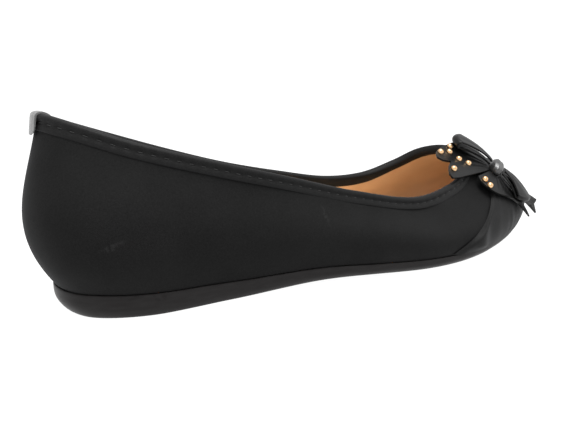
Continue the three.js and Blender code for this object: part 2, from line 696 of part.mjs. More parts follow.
function piece(name, geometry, material) {
  const mesh = new THREE.Mesh(geometry, material());
  mesh.name = name;
  return mesh;
}

const shoe = new THREE.Group();
shoe.add(piece('outsole', soleGeometry(), materials.sole));
shoe.add(piece('upper', upperGeometry(), materials.upper));
shoe.add(piece('insole', insoleGeometry(), materials.insole));
shoe.add(piece('topline_binding', bindingGeometry(), materials.trim));
shoe.add(piece('toe_piece', toePieceGeometry(), materials.upper));
shoe.add(piece('heel_tab', tabGeometry(), materials.trim));
shoe.add(piece('bow_leaf_far', leafGeometry(FAR_LEAF), materials.trim));
shoe.add(piece('bow_leaf_near', leafGeometry(NEAR_LEAF), materials.trim));
shoe.add(piece('bow_loop_far', loopGeometry(FAR_LOOP), materials.trim));
shoe.add(piece('bow_loop_near', loopGeometry(NEAR_LOOP), materials.trim));
shoe.add(piece('bow_knot', knotGeometry(), materials.trim));

STUDS.forEach((stud, index) => {
  const table = stud.leaf === 'far' ? FAR_LEAF : NEAR_LEAF;
  const at = leafPoint(table, stud.along, stud.across);
  const alongStep = leafPoint(table, stud.along + 0.02, stud.across).sub(at);
  const acrossStep = leafPoint(table, stud.along, stud.across + 0.02).sub(at);
  const normal = alongStep.cross(acrossStep).normalize();
  if (normal.dot(knotNormal) < 0) normal.negate();
  const mesh = piece(`stud_${index + 1}`, studGeometry(), materials.stud);
  mesh.position.copy(at).addScaledVector(normal, LEAF_THICKNESS / 2 + STUD_SEAT);
  mesh.quaternion.setFromUnitVectors(V(0, 1, 0), normal);
  shoe.add(mesh);
});

// The origin is on the floor under the middle of the shoe.
const box = new THREE.Box3().setFromObject(shoe);
const part = new THREE.Group();
shoe.position.set(-(box.min.x + box.max.x) / 2, -(box.min.y + box.max.y) / 2, -box.min.z);
part.add(shoe);

export default part;
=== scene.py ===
import math

import bmesh
import bpy
import numpy as np
from mathutils import Matrix, Vector


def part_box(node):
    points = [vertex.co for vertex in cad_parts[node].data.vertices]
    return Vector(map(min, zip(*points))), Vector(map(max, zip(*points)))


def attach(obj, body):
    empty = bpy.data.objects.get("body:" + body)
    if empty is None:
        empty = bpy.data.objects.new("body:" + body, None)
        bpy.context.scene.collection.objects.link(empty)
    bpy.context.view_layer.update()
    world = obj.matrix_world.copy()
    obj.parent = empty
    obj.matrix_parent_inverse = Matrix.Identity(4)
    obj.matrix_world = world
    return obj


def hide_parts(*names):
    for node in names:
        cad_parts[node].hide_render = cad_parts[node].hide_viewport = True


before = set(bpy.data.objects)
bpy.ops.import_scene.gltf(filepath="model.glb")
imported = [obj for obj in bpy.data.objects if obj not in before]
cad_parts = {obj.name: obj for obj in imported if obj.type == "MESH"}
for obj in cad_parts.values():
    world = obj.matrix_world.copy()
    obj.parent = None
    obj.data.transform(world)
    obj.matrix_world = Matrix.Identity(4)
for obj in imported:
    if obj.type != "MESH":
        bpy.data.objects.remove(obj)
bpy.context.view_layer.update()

# All shapes are worked out in millimetres in the shoe's own frame: x from the back of the foot
# outline to the toe, y to the medial side, z up from the floor.
MM = 0.001

# Last and sole; starts and shares are along the sole
SOLE_LENGTH = 236.0
BALL_WIDTH = 80.0
HEEL_WIDTH = 52.0
HEEL_THICKNESS = 8.6
FORE_THICKNESS = 4.4
TOE_SPRING = 7.7
SPRING_START = 0.72
SPRING_POWER = 1.5
ARCH_RISE = 1.8
ARCH_START = 0.216
ARCH_SHARE = 0.381
HEEL_ROLL = 0.8
ROLL_SHARE = 0.04
SOLE_LEDGE = 0.4
VAMP_LENGTH = 51.5
COLLAR_WIDTH = 60.0
BACK_HEIGHT = 63.5
SIDE_HEIGHT = 27.5
THROAT_HEIGHT = 43.9
SIDE_LEAN = math.radians(12)
THROAT_SLOPE = 0.28
TURN_START = 0.618
TURN_SHARE = 0.296
WALL = 1.8
INSOLE_THICKNESS = 3.0
FIT = 0.3
BINDING_THICKNESS = 0.6
BAND_WIDTH = 4.3
CAP_THICKNESS = 0.8
PLEAT_HEIGHT = 1.2
TAB_WIDTH = 8.0
TAB_THICKNESS = 0.6
TAB_OUTSIDE = 6.2
TAB_INSIDE = 5.0

# Bow
BOW_SPAN = 60.0
BOW_TURN = 135.0
LEAF_THICKNESS = 0.85
LEAF_DROP = 1.7
LOOP_THICKNESS = 0.85
LOOP_DROP = 0.2
LOOP_ROOT_RISE = 1.7
LOOP_CAP = 0.22
LOOP_ARCH = 0.9
LOOP_NOD = 0.4
RIB_BEND = 0.6
ROW_ROUNDING = 0.15
ROOT_CLEARANCE = 0.5
KNOT_ALONG = 6.0
KNOT_ACROSS = 10.0
KNOT_HEIGHT = 6.4
KNOT_STATION = 18.272
KNOT_RISE = 0.754
STUD_DIAMETER = 2.9
STUD_HEIGHT = 1.5

# Stations round the foot outline, from the toe by the medial side to the heel and back.
FOOT = [1, 0.962, 0.872, 0.737, 0.618, 0.482, 0.355, 0.228, 0.112, 0.036,
        0.0075, 0.035, 0.113, 0.229, 0.355, 0.481, 0.637, 0.759, 0.872, 0.958]
BALL = [0.095, 0.488, 0.783, 0.933, 0.62, 0.3, 0.1, 0, 0, 0,
        0, 0, 0, 0, -0.2, -0.6, -1.045, -0.935, -0.71, -0.343]
HEEL = [0, 0, 0, 0, 0.296, 0.519, 0.737, 0.948, 0.944, 0.611,
        -0.018, -0.615, -0.97, -1.033, -0.881, -0.515, 0, 0, 0, 0]
TOP = [1, 0.981, 0.931, 0.84, 0.717, 0.563, 0.414, 0.278, 0.143, 0.051,
       0.013, 0.05, 0.143, 0.28, 0.418, 0.566, 0.732, 0.861, 0.941, 0.984]
COLLAR = [0, 0.45, 0.755, 0.923, 0.98, 0.907, 0.837, 0.797, 0.693, 0.42,
          0, -0.423, -0.693, -0.83, -0.903, -0.983, -1.033, -0.947, -0.74, -0.45]
BACK = [0, 0, 0, 0, 0.05, 0.194, 0.364, 0.564, 0.786, 0.939,
        1, 0.931, 0.75, 0.547, 0.361, 0.156, 0, 0, 0, 0]
THROAT = [1, 0.854, 0.463, 0.128, 0, 0, 0, 0, 0, 0,
          0, 0, 0, 0, 0, 0, 0, 0.19, 0.5, 0.83]
STATIONS = 20
HEEL_STATION = 10.0

# Wall profile and sole section by share of the sole length. Swell, rise and reach are shares of the
# wall's height, heel and fore of the two thicknesses, and inset of the sole's own thickness.
PROFILE = {
    "at": [0, 0.067, 0.237, 0.49, 0.745, 0.936, 1],
    "swell": [0.255, 0.235, 0.225, 0.245, 0.28, 0.229, 0.228],
    "rise": [0.38, 0.4, 0.469, 0.5, 0.514, 0.548, 0.58],
    "reach": [0.38, 0.386, 0.39, 0.385, 0.553, 0.839, 0.95],
}
SOLE = {
    "at": [0, 0.046, 0.194, 0.449, 0.618, 1],
    "heel": [1, 1, 0.86, 0, 0, 0],
    "fore": [0, 0, 0, 1.07, 1, 0.91],
    "inset": [0.3, 0.27, 0.22, 0.4, 0.44, 0.85],
}

# Toe piece: seam stations from the toe, its sweep and bend, and pleats as plan angles in degrees
# about the knot with their widths and shares of the pleat height.
SEAM_FOOT = 4.1
SEAM_SWEEP = 2.4
SEAM_BEND = 1.25
PLEATS = [(209, 3.2, 1.05), (222, 4, 0.12), (240, 6, 0.1), (258, 8, 0.4), (290, 9, 0.12),
          (325, 9, 0.15), (358, 8, 0.2), (24, 7, 0.25), (46, 6, 0.35), (66, 5, 0.5), (84, 4.5, 0.8)]
PLEAT_START = 0.13
PLEAT_FULL = 0.4

# Edges of the bow's leaves and loops about the knot: turn in degrees from the toe, then reach,
# lift and the rest as shares of the bow's span.
FAR_LEAF = {
    "turn": [188, 187, 184, 177.5, 170, 168.5, 165.5, 158.5, 150, 142, 130, 111],
    "reach": [0.49, 0.57, 0.582, 0.538, 0.475, 0.537, 0.57, 0.55, 0.497, 0.439, 0.39, 0.32],
    "lift": [-0.062, -0.067, -0.06, -0.053, -0.048, -0.06, -0.067, -0.067, -0.057, -0.047, -0.043,
             -0.043],
    "curl": [0, 0, 0, 0, 0, 0, 0, 0, 0, 0, 0, 0],
}
NEAR_LEAF = {
    "turn": [193, 201, 210, 221, 234, 252, 271, 286, 297, 299.5, 313, 317, 321.5, 326.5, 329, 331],
    "reach": [0.276, 0.296, 0.294, 0.29, 0.28, 0.262, 0.276, 0.314, 0.443, 0.315, 0.428, 0.515,
              0.468, 0.482, 0.365, 0.3],
    "lift": [-0.045, -0.05, -0.055, -0.057, -0.057, -0.058, -0.065, -0.078, -0.09, -0.08,
             -0.1, -0.13, -0.1, -0.088, -0.082, -0.066],
    "curl": [0, 0, 0, 0, 0, 0, 0, -0.01, -0.05, -0.004, 0, -0.02, -0.01, 0, 0, 0],
}
FAR_LOOP = {
    "turn": [148, 133, 117],
    "reach": [0.385, 0.412, 0.39],
    "lift": [0.032, 0.018, 0.005],
    "puff": [0.025, 0.026, 0.026],
}
NEAR_LOOP = {
    "turn": [312, 293, 273],
    "reach": [0.362, 0.338, 0.285],
    "lift": [-0.05, -0.033, -0.023],
    "puff": [0.014, 0.015, 0.014],
}

# Studs by leaf, along its ribs and across them.
FAR_STUDS = [(0.93, 0.63), (0.9, 0.793), (0.77, 0.67), (0.6, 0.507), (0.54, 0.34), (0.9, 0.237)]
NEAR_STUDS = [(0.76, 0.09), (0.85, 0.172)]


def smooth(t):
    """Three t squared less two t cubed, with t held between 0 and 1."""
    t = np.clip(t, 0, 1)
    return t * t * (3 - 2 * t)


def unit(vectors):
    """Each vector divided by its length."""
    return vectors / np.maximum(np.linalg.norm(vectors, axis=-1, keepdims=True), 1e-12)


def stack(*values):
    """Arrays of x, y and z, spread to one shape, as points."""
    return np.stack(np.broadcast_arrays(*values), -1)


def catmull(a, b, c, d, t):
    """Cubic from b at t 0 to c at t 1, whose slopes are half the steps from a to c and b to d."""
    return b + 0.5 * t * (c - a + t * (2 * a - 5 * b + 4 * c - d + t * (3 * (b - c) + d - a)))


def ring(values, u):
    """Closed curve through evenly spaced values, at stations u."""
    values = np.asarray(values, float)
    first = np.floor(u).astype(int)
    near = [values[(first + k) % len(values)] for k in (-1, 0, 1, 2)]
    return catmull(*near, u - first)


def column(table, name, share):
    """Straight interpolation of one column of a table by its first one, at."""
    return np.interp(share, table["at"], table[name])


def ground(x):
    """Height of the underside: a curved rise to the toe, a squared sine arch, a roll at the heel."""
    share = x / SOLE_LENGTH
    lifted = np.clip((share - SPRING_START) / (1 - SPRING_START), 0, 1)
    spring = TOE_SPRING * lifted ** SPRING_POWER
    arch = ARCH_RISE * np.sin(math.pi * np.clip((share - ARCH_START) / ARCH_SHARE, 0, 1)) ** 2
    return spring + arch + HEEL_ROLL * np.clip(1 - share / ROLL_SHARE, 0, 1) ** 2


def sole_thickness(x):
    """Heel and forefoot thickness, each times its share from the sole's table."""
    share = x / SOLE_LENGTH
    heel = HEEL_THICKNESS * column(SOLE, "heel", share)
    return heel + FORE_THICKNESS * column(SOLE, "fore", share)


def feather(x):
    """Height of the sole's upper edge."""
    return ground(x) + sole_thickness(x)


def outline(u):
    """Foot outline in plan: the point, and the unit normal, its slope turned outward."""
    half = (np.array(BALL) * BALL_WIDTH + np.array(HEEL) * HEEL_WIDTH) / 2
    along = np.array(FOOT) * SOLE_LENGTH
    step = 0.02
    dx = ring(along, u + step) - ring(along, u - step)
    dy = ring(half, u + step) - ring(half, u - step)
    return stack(ring(along, u), ring(half, u), 0.0), unit(stack(dy, -dx, 0.0))


def profile(u):
    """The wall's four control points at u, its slope at the topline and how far that reaches."""
    point, normal = outline(u)
    share = point[..., 0] / SOLE_LENGTH
    throat_x = SOLE_LENGTH - VAMP_LENGTH
    heights = (SIDE_HEIGHT + np.array(BACK) * (BACK_HEIGHT - SIDE_HEIGHT)
               + np.array(THROAT) * (THROAT_HEIGHT - SIDE_HEIGHT))
    top = stack(ring(np.array(TOP) * throat_x, u), ring(np.array(COLLAR) * COLLAR_WIDTH / 2, u),
                ring(heights, u))
    foot = stack(point[..., 0], point[..., 1], feather(point[..., 0]) + FIT)
    height = (top - foot)[..., 2]
    side = stack(-normal[..., 0] * math.sin(SIDE_LEAN), -normal[..., 1] * math.sin(SIDE_LEAN),
                 math.cos(SIDE_LEAN))
    flat = unit(stack((top - point)[..., 0], (top - point)[..., 1], 0.0))
    inward = stack(flat[..., 0], flat[..., 1], THROAT_SLOPE)
    turn = smooth((share - TURN_START) / TURN_SHARE)[..., None]
    tangent = unit(side * (1 - turn) + inward * turn)
    low = foot + normal * (column(PROFILE, "swell", share) * height)[..., None]
    low = low + stack(0.0, 0.0, column(PROFILE, "rise", share) * height)
    reach = column(PROFILE, "reach", share) * height
    return foot, low, top - tangent * reach[..., None], top, tangent, reach


def surface(u, v):
    """Outer face of the upper: a cubic in v through the profile's four control points at u."""
    u, v = np.broadcast_arrays(np.asarray(u, float), np.asarray(v, float))
    foot, low, high, top, _, _ = profile(u)
    v = v[..., None]
    w = 1 - v
    return w ** 3 * foot + 3 * w * w * v * low + 3 * w * v * v * high + v ** 3 * top


def surface_normal(u, v):
    """Cross product of the steps round and up the outer face, of unit length."""
    u, v = np.broadcast_arrays(np.asarray(u, float), np.asarray(v, float))
    rise, turn = 0.01, 0.04
    up = surface(u, np.minimum(v + rise, 1)) - surface(u, np.maximum(v - rise, 0))
    round_wall = surface(u + turn, v) - surface(u - turn, v)
    return unit(np.cross(round_wall, up))


def shell(u, v, distance):
    """The outer face moved outward along its normal."""
    u, v, distance = np.broadcast_arrays(*(np.asarray(a, float) for a in (u, v, distance)))
    return surface(u, v) + surface_normal(u, v) * distance[..., None]


def below_top(u, length):
    """The v at a given length down the wall from the topline."""
    return 1 - length / (3 * profile(np.asarray(u, float))[5])


def folded(u, out, rise):
    """A point of a band over the topline: out from the wall, and rise above or below the edge."""
    u, out, rise = np.broadcast_arrays(*(np.asarray(a, float) for a in (u, out, rise)))
    down = shell(u, below_top(u, np.maximum(-rise, 0)), out)
    return down + profile(u)[4] * np.maximum(rise, 0)[..., None]


# Shift from the shoe's own frame to the row frame: the outsole's lowest corner there, less that of
# its widest ring here.
_stations = np.arange(80) * STATIONS / 80
_widest, _outward = outline(_stations)
_edge = (_widest + SOLE_LEDGE * _outward)[:, :2].min(0)
_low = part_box("outsole")[0]
ROW_SHIFT = np.array([_low[0] / MM - _edge[0], _low[1] / MM - _edge[1], 0.0])


def quads(rows, columns, wrap_rows=False, wrap_columns=False):
    """Corner numbers of a grid's faces: each corner and its next neighbours along both ways."""
    r, c = np.meshgrid(np.arange(rows - (not wrap_rows)), np.arange(columns - (not wrap_columns)),
                       indexing="ij")
    r_next, c_next = (r + 1) % rows, (c + 1) % columns
    corners = [(r, c), (r, c_next), (r_next, c_next), (r_next, c)]
    return np.stack([row * columns + place for row, place in corners], -1).reshape(-1, 4)


def piece(name, blocks, material, node=(), sharp=50):
    """One object from grids (points, faces, uv) in the shoe's frame, merged at shared places."""
    points, faces, uvs, start = [], [], [], 0
    for grid, corners, uv in blocks:
        points.append(grid.reshape(-1, 3))
        uvs.append(np.broadcast_to(uv, grid.shape[:-1] + (2,)).reshape(-1, 2))
        faces.append(corners + start)
        start += grid.size // 3
    points, faces, uvs = (np.concatenate(a) for a in (points, faces, uvs))
    mesh = bpy.data.meshes.new(name)
    mesh.from_pydata((points + ROW_SHIFT) * MM, [], faces)
    layer = mesh.uv_layers.new(name="grid")
    layer.data.foreach_set("uv", uvs[faces.reshape(-1)].astype(np.float32).reshape(-1))
    merge(mesh)
    mesh.polygons.foreach_set("use_smooth", np.ones(len(mesh.polygons), bool))
    mesh.set_sharp_from_angle(angle=math.radians(sharp))
    mesh.materials.append(material)
    obj = bpy.data.objects.new(name, mesh)
    bpy.context.scene.collection.objects.link(obj)
    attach(obj, "root")
    if node:
        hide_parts(*node)


MERGE_DISTANCE = 1e-6


def merge(mesh):
    """Joins vertices in one place and drops the faces that this closes."""
    work = bmesh.new()
    work.from_mesh(mesh)
    bmesh.ops.remove_doubles(work, verts=work.verts, dist=MERGE_DISTANCE)
    bmesh.ops.dissolve_degenerate(work, edges=work.edges, dist=MERGE_DISTANCE)
    work.to_mesh(mesh)
    work.free()


def uv_of(u, v):
    """Two coordinates of a grid, spread to one shape, as its map."""
    return stack(np.asarray(u, float), np.asarray(v, float))


# Materials

class Finish:
    """A node material: principled shader, object coordinates in millimetres, and chained bumps."""

    def __init__(self, name, **sockets):
        self.material = bpy.data.materials.new(name)
        self.material.use_nodes = True
        self.tree = self.material.node_tree
        self.shader = self.tree.nodes["Principled BSDF"]
        for socket, value in sockets.items():
            self.shader.inputs[socket.replace("_", " ")].default_value = value
        self.coords = self.tree.nodes.new("ShaderNodeTexCoord")
        self.bump = None

    def node(self, kind, inputs=(), **values):
        """A node of a kind, with its settings, and its inputs set or linked."""
        made = self.tree.nodes.new(kind)
        for key, value in values.items():
            setattr(made, key, value)
        for key, value in dict(inputs).items():
            socket = made.inputs[key]
            if isinstance(value, bpy.types.NodeSocket):
                self.tree.links.new(value, socket)
            else:
                socket.default_value = value
        return made

    def noise(self, size_mm, detail=3.0, stretch=(1, 1, 1)):
        """Noise whose cells are about size_mm across, closer together along a stretched axis."""
        scale = tuple(s / (size_mm * MM) for s in stretch)
        scaled = self.node("ShaderNodeMapping", {"Vector": self.coords.outputs["Object"],
                                                 "Scale": scale})
        made = self.node("ShaderNodeTexNoise", {"Vector": scaled.outputs["Vector"], "Scale": 1.0,
                                                "Detail": detail})
        return made.outputs["Fac"]

    def ramp(self, factor, *stops):
        """Colour that runs straight between two stops of a factor."""
        made = self.node("ShaderNodeValToRGB", {"Fac": factor})
        for stop, (at, value) in zip(made.color_ramp.elements, stops):
            stop.position = at
            stop.color = (*value, 1)
        return made.outputs["Color"]

    def mix(self, factor, a, b):
        """Colour a at factor 0, and b at 1."""
        made = self.node("ShaderNodeMix", data_type="RGBA")
        for index, value in ((0, factor), (6, a), (7, b)):
            socket = made.inputs[index]
            if isinstance(value, bpy.types.NodeSocket):
                self.tree.links.new(value, socket)
            else:
                socket.default_value = value if index == 0 else (*value[:3], 1)
        return made.outputs[2]

    def math(self, operation, a, b, clamp=False):
        """One sum of two values, held between 0 and 1 if asked."""
        return self.node("ShaderNodeMath", {0: a, 1: b}, operation=operation,
                         use_clamp=clamp).outputs[0]

    def streak(self, start, end, width_mm, patchy=0.9):
        """1 on a line from start to end, in metres in the row frame, fading to 0, with gaps."""
        start, end = Vector(start), Vector(end)
        length, middle = (end - start).length, (start + end) / 2
        away = self.node("ShaderNodeVectorMath", {0: self.coords.outputs["Object"], 1: middle},
                         operation="SUBTRACT").outputs[0]
        run = self.node("ShaderNodeVectorMath", {0: away, 1: (end - start) / length},
                        operation="DOT_PRODUCT").outputs["Value"]
        ends = self.math("MULTIPLY", run, 2 / length)
        total = self.node("ShaderNodeVectorMath", {0: away}, operation="LENGTH").outputs["Value"]
        square = self.math("SUBTRACT", self.math("MULTIPLY", total, total),
                           self.math("MULTIPLY", run, run))
        side = self.math("DIVIDE", square, (width_mm * MM) ** 2)
        far = self.math("ADD", self.math("MULTIPLY", ends, ends), side)
        mask = self.node("ShaderNodeMapRange", {"Value": far, "From Min": 1.0, "From Max": 0.2})
        broken = self.node("ShaderNodeMapRange", {"Value": self.noise(patchy, detail=4),
                                                  "From Min": 0.4, "From Max": 0.62})
        return self.math("MULTIPLY", mask.outputs["Result"], broken.outputs["Result"], clamp=True)

    def add_bump(self, height, depth_mm, strength):
        """A bump of a depth, laid over those before it."""
        inputs = {"Height": height, "Distance": depth_mm * MM, "Strength": strength}
        if self.bump:
            inputs["Normal"] = self.bump.outputs["Normal"]
        self.bump = self.node("ShaderNodeBump", inputs)
        self.tree.links.new(self.bump.outputs["Normal"], self.shader.inputs["Normal"])

    def colour(self, socket):
        """Links the base colour."""
        self.tree.links.new(socket, self.shader.inputs["Base Color"])

    def roughness(self, factor, low, high):
        """Roughness from low at factor 0 to high at 1."""
        made = self.node("ShaderNodeMapRange", {"Value": factor, "To Min": low, "To Max": high})
        self.tree.links.new(made.outputs["Result"], self.shader.inputs["Roughness"])


def grey(value):
    """A colour of three equal parts."""
    return (value, value, value)


MARK_TONE = 0.0125


def black_cloth(name, base=0.006, rough=(0.6, 0.76), nap=0.03, gloss=0.08, marks=()):
    """Black synthetic suede: very fine nap, slow clouding in tone, a soft edge sheen, scratches."""
    finish = Finish(name, Specular_IOR_Level=gloss, Sheen_Weight=nap, Sheen_Roughness=0.35,
                    Sheen_Tint=(0.9, 0.92, 1, 1))
    cloud = finish.noise(22, detail=4)
    tone = finish.ramp(cloud, (0.3, grey(base * 0.75)), (0.7, grey(base * 1.3)))
    speck = finish.noise(0.5, detail=2)
    surface_tone = finish.mix(0.35, tone, finish.ramp(speck, (0.3, grey(base * 0.4)),
                                                       (0.75, grey(base * 2.0))))
    for start, end, width in marks:
        surface_tone = finish.mix(finish.streak(start, end, width), surface_tone, grey(MARK_TONE))
    finish.colour(surface_tone)
    finish.roughness(finish.noise(7, detail=5), *rough)
    finish.add_bump(speck, 0.05, 0.5)
    finish.add_bump(finish.noise(0.9, detail=3, stretch=(1, 1, 1.6)), 0.06, 0.4)
    return finish


# Faint scratches on the outer side, behind and in front of the arch: both ends in metres in the
# row frame, and the width in millimetres
SCRATCHES = [
    ((-0.1046, -0.0230, 0.0241), (-0.0962, -0.0261, 0.0275), 0.9),
    ((-0.1032, -0.0237, 0.0238), (-0.0985, -0.0254, 0.0256), 0.7),
    ((-0.0284, -0.0283, 0.0312), (-0.0266, -0.0326, 0.0222), 1.1),
]
cloth = black_cloth("black_upper_cloth", marks=SCRATCHES)
toe_cloth = black_cloth("black_toe_cloth", base=0.0075, rough=(0.52, 0.66), gloss=0.1)

band = black_cloth("black_binding", base=0.0068, rough=(0.52, 0.66), nap=0.05, gloss=0.12)
band.add_bump(band.noise(0.7, detail=2), 0.08, 0.5)

# Sole: dark and dull, glossy at its tip, where its colour is painted pale as a reflection of the
# floor, with two dark marks beside the heel
sole_rubber = Finish("dark_glossy_sole", Specular_IOR_Level=0.07, Coat_Roughness=0.16)
_scuff = sole_rubber.noise(3, detail=8, stretch=(0.5, 0.5, 2.2))
sole_rubber.roughness(sole_rubber.noise(5, detail=6), 0.24, 0.48)
_length = sole_rubber.node("ShaderNodeSeparateXYZ",
                           {"Vector": sole_rubber.coords.outputs["Object"]})
# Towards the tip this mask raises the coat's gloss and also paints in a pale reflection of the floor
_toe_gloss_and_painted_glare = sole_rubber.node("ShaderNodeMapRange", {"Value": _length.outputs["X"], "From Min": 0.088,
                                               "From Max": 0.104, "To Min": 0.015, "To Max": 0.85})
sole_rubber.tree.links.new(_toe_gloss_and_painted_glare.outputs["Result"], sole_rubber.shader.inputs["Coat Weight"])
_dark = sole_rubber.ramp(_scuff, (0.35, grey(0.005)), (0.75, grey(0.0095)))
for _start, _end in (((-0.101, -0.0205, 0.0082), (-0.091, -0.0242, 0.0078)),
                     ((-0.092, -0.0243, 0.0068), (-0.083, -0.0252, 0.0066))):
    _dark = sole_rubber.mix(sole_rubber.streak(_start, _end, 1.6, 1.6), _dark, grey(0.001))
# The pale pink-grey at the tip is a painted reflection, laid over the dark rubber
sole_rubber.colour(sole_rubber.mix(_toe_gloss_and_painted_glare.outputs["Result"], _dark, (0.62, 0.55, 0.55)))
sole_rubber.add_bump(sole_rubber.noise(0.6, detail=3), 0.03, 0.5)
sole_rubber.add_bump(sole_rubber.noise(9, detail=2), 0.2, 0.4)


def tan_cloth(name, gloss, cloud_mm, dark, light, grain_mm):
    """Smooth tan cloth: slow clouding from dark to light, uneven gloss and a fine grain."""
    finish = Finish(name, Specular_IOR_Level=gloss)
    finish.colour(finish.ramp(finish.noise(cloud_mm), (0.3, dark), (0.75, light)))
    finish.roughness(finish.noise(4, detail=5), 0.5, 0.68)
    finish.add_bump(finish.noise(grain_mm), 0.06, 0.5)
    return finish


sock = tan_cloth("tan_sock", 0.3, 30, (0.7, 0.49, 0.3), (0.8, 0.58, 0.37), 0.55)
lining_cloth = tan_cloth("tan_lining", 0.28, 26, (0.62, 0.41, 0.24), (0.72, 0.49, 0.3), 0.5)

tape = Finish("grey_heel_tape", Specular_IOR_Level=0.4, Sheen_Weight=0.3)
tape.colour(tape.ramp(tape.noise(1.2, detail=4), (0.3, grey(0.08)), (0.7, grey(0.13))))
tape.roughness(tape.noise(2, detail=3), 0.45, 0.6)

leather = Finish("soft_dark_leather", Specular_IOR_Level=0.16)
leather.colour(leather.ramp(leather.noise(6, detail=4), (0.3, grey(0.004)), (0.7, grey(0.007))))
leather.roughness(leather.noise(3, detail=4), 0.32, 0.46)
leather.add_bump(leather.noise(0.8, detail=4), 0.06, 0.5)
leather.add_bump(leather.noise(4, detail=2), 0.15, 0.4)

knot_leather = Finish("tight_dark_leather", Specular_IOR_Level=0.7, Coat_Weight=0.45,
                      Coat_Roughness=0.34)
knot_leather.colour(knot_leather.ramp(knot_leather.noise(4, detail=4), (0.3, grey(0.01)),
                                      (0.7, grey(0.018))))
knot_leather.roughness(knot_leather.noise(2, detail=4), 0.34, 0.46)
knot_leather.add_bump(knot_leather.noise(0.8, detail=4), 0.05, 0.5)

gold = Finish("polished_gold", Metallic=1.0, Roughness=0.3)
gold.colour(gold.ramp(gold.noise(1.5, detail=2), (0.3, (0.72, 0.46, 0.24)),
                      (0.7, (0.8, 0.54, 0.31))))
gold.add_bump(gold.noise(0.8, detail=2), 0.02, 0.4)

thread = Finish("black_thread", Roughness=0.5, Specular_IOR_Level=0.4)
thread.colour(thread.ramp(thread.noise(0.3, detail=2), (0.3, grey(0.012)), (0.7, grey(0.03))))


# Upper

AROUND = 400


def around(count=AROUND):
    """Evenly spaced stations round the outline, from the toe."""
    return np.arange(count) * STATIONS / count


# Soft troughs and ridges of the upper: side (-1 lateral, 1 medial), from x, z to x, z in
# millimetres, half width and depth (negative is a trough).
CREASES = [
    (-1, 128, 30, 150, 12, 6.0, -0.35),
    (-1, 150, 27, 165, 13, 5.0, 0.25),
    (-1, 40, 50, 70, 33, 9.0, -0.3),
    (-1, 92, 33, 100, 18, 8.0, 0.25),
    (-1, 168, 26, 180, 14, 4.0, -0.3),
    (1, 130, 30, 150, 12, 6.0, -0.4),
    (1, 152, 27, 168, 13, 5.0, 0.25),
    (1, 60, 42, 84, 26, 9.0, -0.35),
]


def relief(points):
    """Sum over the creases of depth times a bell curve of the distance from the crease's line."""
    total = np.zeros(points.shape[:-1])
    for side, x0, z0, x1, z1, width, depth in CREASES:
        start, end = np.array([x0, z0]), np.array([x1, z1])
        flat = points[..., [0, 2]] - start
        along = np.clip(flat @ (end - start) / ((end - start) @ (end - start)), 0, 1)
        away = np.linalg.norm(flat - along[..., None] * (end - start), axis=-1)
        total += depth * np.exp(-(away / width) ** 2) * smooth(0.5 + side * points[..., 1] / 8)
    return total


WALL_STATIONS = around()[None, :]
SHELL_DEPTH = 1.0
LINING_GAP = 0.05
LINING_START = 0.03


def wall_face(rows, distance, start=0.0, dented=False):
    """The outer face from v at start to the topline, moved out, with the creases if dented."""
    v = np.linspace(start, 1.0, rows)[:, None]
    if dented:
        away_from_edges = smooth(v * 6) * smooth((1 - v) * 6)
        distance = distance + relief(surface(WALL_STATIONS, v)) * away_from_edges
    return shell(WALL_STATIONS, v, distance), uv_of(WALL_STATIONS / STATIONS, v)


outer_face, outer_uv = wall_face(56, 0.0, dented=True)
inner_face, inner_uv = wall_face(16, -SHELL_DEPTH)
_foot, _out = outline(around())
inner_face[0] = _foot - _out * SHELL_DEPTH
inner_face[0, :, 2] = outer_face[0, :, 2]
rings = np.concatenate([outer_face, inner_face[::-1]])
piece("upper_shell", [(rings, quads(len(rings), AROUND, True, True),
                       np.concatenate([outer_uv, inner_uv[::-1]]))],
      cloth.material, ["upper"])

lining_front, lining_uv = wall_face(30, -WALL, LINING_START)
lining_back, back_uv = wall_face(16, -SHELL_DEPTH - LINING_GAP, LINING_START)
rings = np.concatenate([lining_back, lining_front[::-1]])
piece("lining", [(rings, quads(len(rings), AROUND, True, True),
                  np.concatenate([back_uv, lining_uv[::-1]]))], lining_cloth.material)


# Plates: the sole and the insole

HALF = AROUND // 2
STRIPS = 32
MAP_SPAN = 100


def plate(rings, bottom, top):
    """Side rings, and strips across between each medial and lateral pair of the end rings."""
    side = np.stack(rings)
    blocks = [(side, quads(len(rings), AROUND, False, True),
               uv_of(WALL_STATIONS / STATIONS, np.linspace(0, 1, len(rings))[:, None]))]
    share = np.linspace(0, 1, STRIPS + 1)[None, :, None]
    for edge, level, upward in ((rings[-1], top, True), (rings[0], bottom, False)):
        medial = edge[:HALF + 1, None]
        lateral = edge[(AROUND - np.arange(HALF + 1)) % AROUND][:, None]
        points = medial + (lateral - medial) * share
        inside = (share[..., 0] > 0) & (share[..., 0] < 1)
        points[..., 2] = np.where(inside, level(points, share[..., 0]), points[..., 2])
        points[0] = medial[0]
        points[-1] = medial[-1]
        faces = quads(HALF + 1, STRIPS + 1)
        faces = faces[:, ::-1] if upward else faces
        blocks.append((points, faces, points[..., :2] / MAP_SPAN))
    return blocks


def sole_ring(drop, margin):
    """Outline moved out by the ledge, or in by the section's inset, at a share of the thickness."""
    point, normal = outline(around())
    x = point[:, 0]
    thickness = sole_thickness(x)
    inset = column(SOLE, "inset", x / SOLE_LENGTH) * thickness
    out = SOLE_LEDGE * margin - inset * (1 - margin)
    points = point + normal * out[:, None]
    points[:, 2] = feather(x) - thickness * drop
    return points


